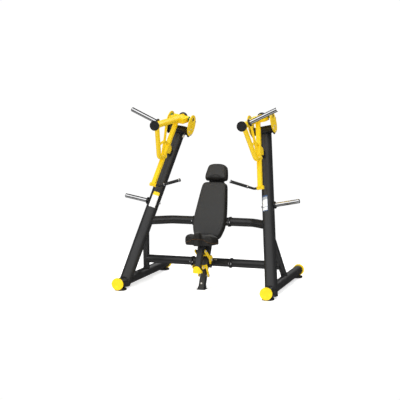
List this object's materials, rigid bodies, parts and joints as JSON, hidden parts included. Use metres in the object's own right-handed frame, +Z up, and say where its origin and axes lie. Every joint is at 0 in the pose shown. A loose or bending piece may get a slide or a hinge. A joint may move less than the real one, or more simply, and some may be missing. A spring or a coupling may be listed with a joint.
{
  "type": "chest press machine",
  "caption": "Plate-loaded gym chest press: two leaning side frames with converging swing arms, a reclined seat and back pad, and horns for weight plates.",
  "frame": {"origin": "on the floor under the middle of the machine", "axes": "+X across the machine towards its right side frame as seen from the front, -Y to the front where the user's knees point, +Z up"},
  "size_m": [2.1336, 1.6082, 2.0717],
  "materials": {
    "frame_paint": "charcoal satin powder coat",
    "black_paint": "black satin powder coat",
    "yellow_paint": "yellow gloss powder coat",
    "yellow_plastic": "yellow moulded plastic",
    "black_plastic": "black moulded plastic",
    "rubber": "black rubber",
    "chrome": "polished chrome plate",
    "steel_bolt": "zinc-plated steel",
    "green_bush": "green nylon bearing bush",
    "vinyl": "dark grey woven-look vinyl over foam",
    "board": "black-painted board"
  },
  "bodies": {
    "frame": {"base_tube_left": "frame_paint", "base_tube_right": "frame_paint", "base_end_caps": "yellow_plastic", "rubber_feet": "rubber", "column_left": "frame_paint", "column_right": "frame_paint", "rear_brace_left": "frame_paint", "rear_brace_right": "frame_paint", "pivot_head_left": "black_paint", "pivot_head_right": "black_paint", "cheek_plates_left": "yellow_paint", "cheek_plates_right": "yellow_paint", "cheek_bolts": "steel_bolt", "pivot_shaft_left": "chrome", "pivot_shaft_right": "chrome", "cheek_bushes": "green_bush", "lower_crossbars": "frame_paint", "upper_crossbars": "frame_paint", "crossbar_bolts": "steel_bolt", "seat_post": "frame_paint", "post_foot": "black_paint", "back_board": "board", "back_pad": "vinyl", "head_bracket": "black_paint", "head_pad": "vinyl", "frame_bolts": "steel_bolt", "storage_horn_left": "chrome", "storage_horn_right": "chrome", "storage_collars": "black_plastic", "post_link_pins": "steel_bolt"},
    "arm_left": {"arm_lever_left": "yellow_paint", "arm_loop_left": "yellow_paint", "arm_drop_left": "yellow_paint", "arm_bushes_left": "green_bush", "lever_caps_left": "black_plastic", "weight_horn_left": "chrome", "horn_collar_left": "black_plastic", "stop_bumper_left": "rubber", "handle_bar_left": "black_paint", "hand_grip_left": "rubber", "grip_rings_left": "chrome"},
    "arm_right": {"arm_lever_right": "yellow_paint", "arm_loop_right": "yellow_paint", "arm_drop_right": "yellow_paint", "arm_bushes_right": "green_bush", "lever_caps_right": "black_plastic", "weight_horn_right": "chrome", "horn_collar_right": "black_plastic", "stop_bumper_right": "rubber", "handle_bar_right": "black_paint", "hand_grip_right": "rubber", "grip_rings_right": "chrome"},
    "upper_links": {"upper_links": "yellow_paint"},
    "lower_links": {"lower_links": "yellow_paint"},
    "seat": {"seat_carriage": "frame_paint", "carriage_cap": "yellow_plastic", "seat_pan": "board", "seat_pad": "vinyl", "carriage_link_pins": "steel_bolt"},
    "lock_pin": {"lock_pin": "chrome"}
  },
  "joints": [
    {"name": "right_arm_press", "type": "hinge", "parent": "frame", "child": "arm_right", "pos_m": [0.49537, 0.339, 1.9474], "axis": [-0.982, 0, -0.1891], "range_deg": [0, 40]},
    {"name": "left_arm_press", "type": "hinge", "parent": "frame", "child": "arm_left", "pos_m": [-0.49537, 0.339, 1.9474], "axis": [-0.982, 0, 0.1891], "range_deg": [0, 40]},
    {"name": "seat_lower", "type": "hinge", "parent": "frame", "child": "upper_links", "pos_m": [0, -0.20771, 0.31878], "axis": [1, 0, 0], "range_deg": [0, 36]},
    {"name": "seat_level", "type": "hinge", "parent": "upper_links", "child": "seat", "pos_m": [0, -0.41728, 0.4457], "axis": [1, 0, 0], "range_deg": [-36, 0]},
    {"name": "lower_link_swing", "type": "hinge", "parent": "frame", "child": "lower_links", "pos_m": [0, -0.29615, 0.1478], "axis": [1, 0, 0], "range_deg": [0, 36]},
    {"name": "lock_pin_slide", "type": "slide", "parent": "frame", "child": "lock_pin", "axis": [1, 0, 0], "range_m": [-0.016, 0]}
  ],
  "couplings": [
    {"joint": "seat_level", "follows": "seat_lower", "ratio": -1},
    {"joint": "lower_link_swing", "follows": "seat_lower", "ratio": 1}
  ]
}
